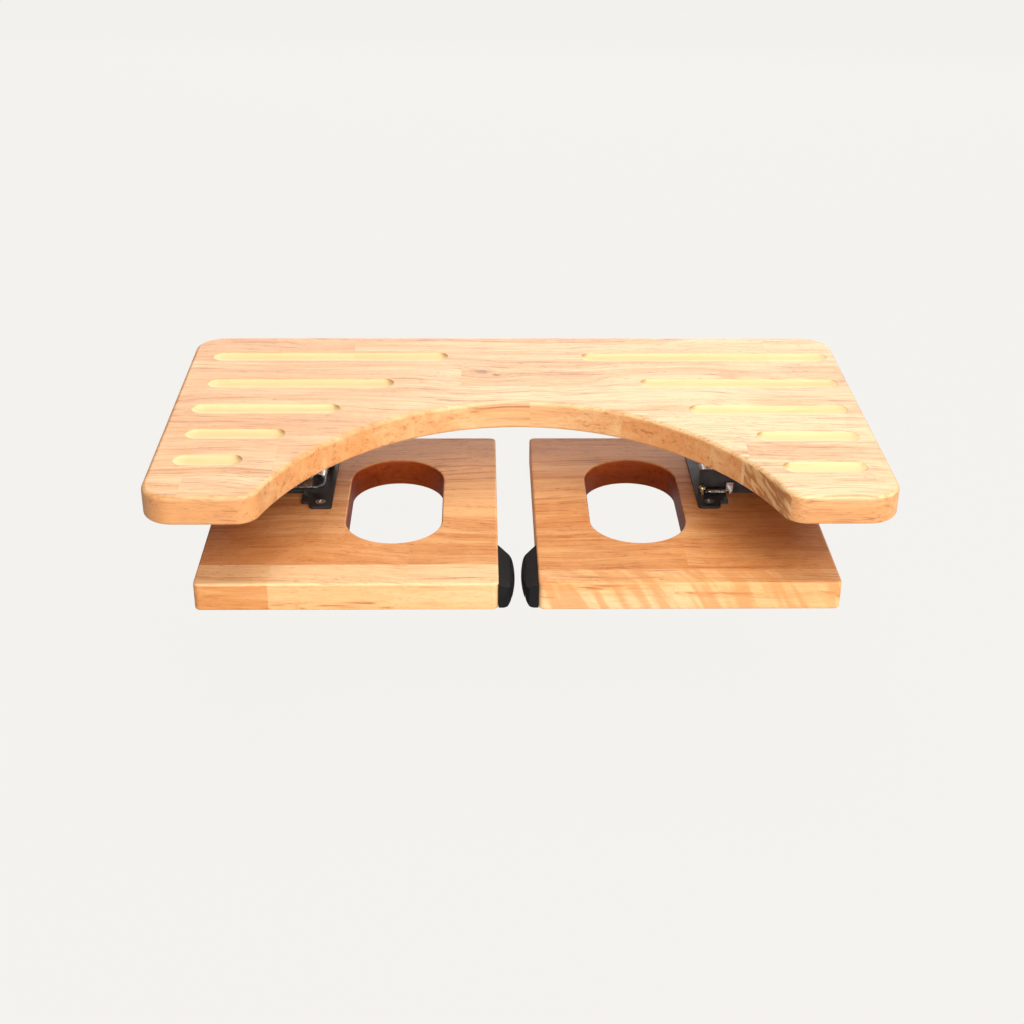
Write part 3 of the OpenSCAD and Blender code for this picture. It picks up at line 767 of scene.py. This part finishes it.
def build_spring(side, mat):
    """A close-wound tension spring with an open hook at each end."""
    low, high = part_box("lock_spring_" + side)
    y, z = (low.y + high.y) / 2, (low.z + high.z) / 2
    coil = (high.z - low.z) / 2 - WIRE_R
    hook_r = coil * 0.8
    # from the hook on the leg's post to the hook on the slide's peg
    fixed_x, free_x, way = (high.x, low.x, -1) if side == "left" else (low.x, high.x, 1)
    start_x, end_x = fixed_x + way * HOOK, free_x - way * HOOK

    def hook(x, way, angles):
        return [(x + way * (HOOK * 0.5 - hook_r * cos(a) * 0.75), y - hook_r * sin(a), z) for a in angles]

    angles = [HOOK_TURN * i / HOOK_STEPS for i in range(HOOK_STEPS + 1)]
    points = hook(fixed_x, way, angles[::-1])
    steps = COILS * COIL_STEPS
    for i in range(steps + 1):
        a = 2 * pi * i / COIL_STEPS
        points.append((start_x + (end_x - start_x) * i / steps, y + coil * sin(a), z + coil * cos(a)))
    points += hook(free_x, -way, angles)
    name = "spring_coil_" + side
    mesh = tube(name, points, WIRE_R)
    mesh.materials.append(mat)
    piece = bpy.data.objects.new(name, mesh)
    scene.collection.objects.link(piece)
    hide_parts("lock_spring_" + side)
    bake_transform(piece)


# ---------- stage ----------

PAPER = (0.918, 0.901, 0.867)                                # the floor as the camera sees it
SURROUND = (0.905, 0.888, 0.855)                             # the backdrop as the camera sees it
FLOOR_GREY = (0.42, 0.41, 0.395)
ROOM_LIGHT, ROOM_STRENGTH = (1.0, 0.985, 0.96), 0.14
FLOOR_GLOW = 0.97                                            # the rest shows light and shadow
FLOOR_HALF = 9
STANDING_Z = -0.1413                                         # clears the ends of the unfolded legs

LIGHTS = (                       # name, place, height aimed at, size and power in watts
    ("overhead", (0.1, 0.0, 2.0), 0.08, (1.8, 1.4), 25),
    ("front_high", (0.5, -1.5, 1.5), 0.08, (2.2, 0.9), 40),
    ("front_low", (0.45, -2.3, 0.19), 0.05, (2.4, 0.22), 31),
    ("back_sheen", (0.35, 2.2, 1.2), 0.08, (2.6, 0.9), 22),
    ("back_low", (0.2, 2.3, 0.24), 0.05, (2.4, 0.3), 9),
    ("right_low", (2.3, -0.5, 0.26), 0.05, (2.0, 0.36), 17))


def coloured(tree, kind, colour):
    n = tree.nodes.new(kind)
    n.inputs[0].default_value = (*colour, 1)
    return n


def split_for_camera(tree, out, lit, seen, share):
    """Camera rays meet one shader by the given share, and all other rays meet the other."""
    path = tree.nodes.new("ShaderNodeLightPath")
    part = tree.nodes.new("ShaderNodeMath")
    part.operation = "MULTIPLY"
    part.inputs[1].default_value = share
    mix = tree.nodes.new("ShaderNodeMixShader")
    tree.links.new(path.outputs["Is Camera Ray"], part.inputs[0])
    tree.links.new(part.outputs[0], mix.inputs[0])
    tree.links.new(lit.outputs[0], mix.inputs[1])
    tree.links.new(seen.outputs[0], mix.inputs[2])
    tree.links.new(mix.outputs[0], out.inputs[0])


def build_floor():
    bm = bmesh.new()
    bmesh.ops.create_grid(bm, x_segments=1, y_segments=1, size=FLOOR_HALF)
    mesh = bpy.data.meshes.new("floor")
    bm.to_mesh(mesh)
    bm.free()
    floor = bpy.data.objects.new("floor", mesh)
    scene.collection.objects.link(floor)
    floor.location.z = STANDING_Z
    mat = bpy.data.materials.new("paper_floor")
    mat.use_nodes = True
    tree = mat.node_tree
    tree.nodes.clear()
    out = tree.nodes.new("ShaderNodeOutputMaterial")
    glow = coloured(tree, "ShaderNodeEmission", PAPER)
    flat = coloured(tree, "ShaderNodeBsdfDiffuse", FLOOR_GREY)
    split_for_camera(tree, out, flat, glow, FLOOR_GLOW)
    mesh.materials.append(mat)


def build_world():
    world = bpy.data.worlds.new("studio")
    scene.world = world
    world.use_nodes = True
    tree = world.node_tree
    tree.nodes.clear()
    out = tree.nodes.new("ShaderNodeOutputWorld")
    seen = coloured(tree, "ShaderNodeBackground", SURROUND)
    lit = coloured(tree, "ShaderNodeBackground", ROOM_LIGHT)
    lit.inputs[1].default_value = ROOM_STRENGTH
    split_for_camera(tree, out, lit, seen, 1)


def add_light(name, at, aim_z, size, power):
    light = bpy.data.lights.new(name, "AREA")
    light.shape = "RECTANGLE"
    light.size, light.size_y = size
    light.energy = power
    obj = bpy.data.objects.new(name, light)
    scene.collection.objects.link(obj)
    obj.location = at
    aim = Vector((0, 0, aim_z)) - Vector(at)
    obj.rotation_euler = aim.to_track_quat("-Z", "Y").to_euler()


# ---------- finishes ----------

PAST = 1.0                       # farther out than any face of a board
UNDER_RIM = 0.0862               # below this height only the top board's side faces are reached
LEG_RIM = 0.0185                 # the same for a folded leg
STRIP_BACK = -0.099              # the back of the left leg's front stave
FLAMED_BACK = -0.106             # the back of the right leg's flamed stave
BLOCK_END = -0.164               # where two blocks meet in the left leg's front face
STEEP_FROM, STEEP_TO = 0.1465, 0.169    # the block with steep grain in the cut-out's right side
GLUE_FROM = 0.1450               # a pale glue line runs from here to the steep block


def top_wood():
    tones = (
        ((0.078, -0.045, UNDER_RIM), (0.200, -0.008, PAST), -0.40),
        ((-0.030, -0.120, 0), (0.072, 0.020, UNDER_RIM), 0.25),
        # a darker, streaky block on the cut-out's right side, partly painted shade
        ((0.072, -0.130, 0), (GLUE_FROM, 0.0, UNDER_RIM), 0.85),
        ((GLUE_FROM, -0.130, 0), (STEEP_FROM, 0.0, UNDER_RIM), -1.6),
        ((-PAST, -PAST, UNDER_RIM), (-0.150, -0.060, PAST), -0.35),
        ((0.150, -PAST, UNDER_RIM), (PAST, -0.060, PAST), 0.22),
        ((-PAST, -PAST, 0), (-0.224, PAST, UNDER_RIM), 0.70),
        # the front face left of the cut-out darker: partly the wood's reddish streaks, partly painted shade
        ((-0.224, -PAST, 0), (-0.150, -0.126, UNDER_RIM), 0.60),
        # the front face right of the steep block darker: partly the wood's reddish streaks, partly painted
        # shade
        ((STEEP_TO, -PAST, 0), (PAST, -0.118, UNDER_RIM), 1.20))
    return wood(
        "top_wood", ((0.86, 0.57, 0.29), (0.78, 0.37, 0.14), (0.42, 0.15, 0.06)),
        seed=3.0, stave_w=0.047, block_length=0.31, drift=(-0.14, 0.45, 0.09, -0.42), tones=tones,
        flips=(((STEEP_FROM, -PAST, 0), (STEEP_TO, -0.062, UNDER_RIM)),),
        knots=((-0.0255, 0.0665, 0.0042), (-0.0150, 0.0600, 0.0024)),
        # painted shade multiplied onto the top board's side faces
        groove=(0.90, 0.66, 0.31), side_shade=(0.90, 0.85, 0.78), figure=0.72)


def left_leg_wood():
    tones = (
        ((BLOCK_END, -PAST, 0), (0.0, STRIP_BACK, PAST), -0.8),
        # painted light: the strip's top face made paler than its front face
        ((BLOCK_END, -PAST, LEG_RIM), (0.0, STRIP_BACK, PAST), -1.3),
        # the end block: darker wood on its front face, and painted light making its top face paler
        ((-PAST, -PAST, 0), (BLOCK_END, STRIP_BACK, LEG_RIM), 0.35),
        ((-PAST, -PAST, LEG_RIM), (BLOCK_END, STRIP_BACK, PAST), -1.5),
        # a darker band behind the strip: partly its own tone, partly painted shade under the top board's
        # front
        ((-PAST, STRIP_BACK, 0), (0.0, -0.056, PAST), 0.45),
        # painted light: the back of the leg, under the top board, made paler
        ((-PAST, 0.040, 0), (0.0, PAST, PAST), -0.75))
    return wood(
        "leg_wood_left", ((0.84, 0.46, 0.20), (0.66, 0.27, 0.085), (0.40, 0.12, 0.04)),
        seed=11.0, stave_w=0.043, block_length=0.26, drift=(-0.16, 0.30, -0.08, -0.12), tones=tones,
        gloss=0.14)


def right_leg_wood():
    tones = (
        ((0.0, -PAST, 0), (PAST, FLAMED_BACK, PAST), -1.1),
        # painted light: the flamed stave's front face made paler still
        ((0.0, -PAST, 0), (PAST, FLAMED_BACK, LEG_RIM), -0.6),
        # painted light: the back of the leg, under the top board, made paler
        ((0.0, 0.040, 0), (PAST, PAST, PAST), -0.85))
    return wood(
        "leg_wood_right", ((0.82, 0.44, 0.18), (0.64, 0.25, 0.075), (0.38, 0.11, 0.035)),
        # the darker right end: partly the wood's redder tone, partly painted shade under the top board's
        # right corner
        seed=17.0, stave_w=0.045, block_length=0.29, drift=(0.09, 0.12, 0.17, 0.70), tones=tones,
        flames=(((0.0, -PAST, 0), (PAST, FLAMED_BACK, PAST)),), gloss=0.14)


# ---------- assembly ----------

aim_camera()
scene.view_settings.view_transform = "Standard"

top_finish, left_finish, right_finish = top_wood(), left_leg_wood(), right_leg_wood()
build_top(top_finish)
build_leg("left", left_finish)
build_leg("right", right_finish)

black_paint = painted_steel("black_paint")
screw = metal("screw_zinc_metal", (0.66, 0.65, 0.62), 0.30)
rivet = metal("rivet_steel_metal", (0.52, 0.51, 0.50), 0.34)
chrome = metal("zinc_plate_metal", (0.88, 0.85, 0.80), 0.24, dirt_amount=0.05, relief=0.000003)
brass = metal("post_metal", (0.78, 0.60, 0.34), 0.24)
spring_wire = metal("spring_wire", (0.50, 0.46, 0.40), 0.28)
nylon = plastic("washer_nylon", (0.70, 0.69, 0.65), (0.82, 0.81, 0.77), 0.4, 900.0, 0.00002)
foot_black = plastic("foot_plastic_black", (0.007, 0.006, 0.0065), (0.012, 0.0105, 0.011),
                     0.62, 1500.0, 0.00005)
pad_black = plastic("pad_rubber_black", (0.005, 0.005, 0.0055), (0.009, 0.009, 0.0095),
                    0.60, 1100.0, 0.00004)

REFINED = (                      # node, finish, the record's slot, bevel in mm and its segments
    ("top_plate_", black_paint, "black_steel", 0.35, 2),
    ("leg_plate_", black_paint, "black_steel", 0.35, 2),
    ("release_slide_", chrome, "zinc_plate", 0.15, 2),
    ("pivot_pin_", rivet, "rivet_steel", 0.25, 2),
    ("foot_", foot_black, "foot_plastic", 0.55, 3),
    ("foot_pad_", pad_black, "pad_rubber", 0.3, 3),
    ("top_plate_screws_", screw, "screw_zinc", 0.08, 2),
    ("leg_plate_screws_", screw, "screw_zinc", 0.08, 2),
    ("foot_screws_", screw, "screw_zinc", 0.08, 2),
    ("spring_post_", brass, "spring_brass", 0.12, 2),
    ("lock_pin_", rivet, "rivet_steel", 0.12, 2),
    ("lock_pin_clips_", rivet, "rivet_steel", 0.06, 2),
    ("pivot_washers_", nylon, "nylon", 0.08, 2))

for side in SIDES:
    for node, finish, slot, bevel, segments in REFINED:
        refine(node + side, finish, bevel * MM, segments)
    build_spring(side, spring_wire)

build_floor()
build_world()
for light in LIGHTS:
    add_light(*light)
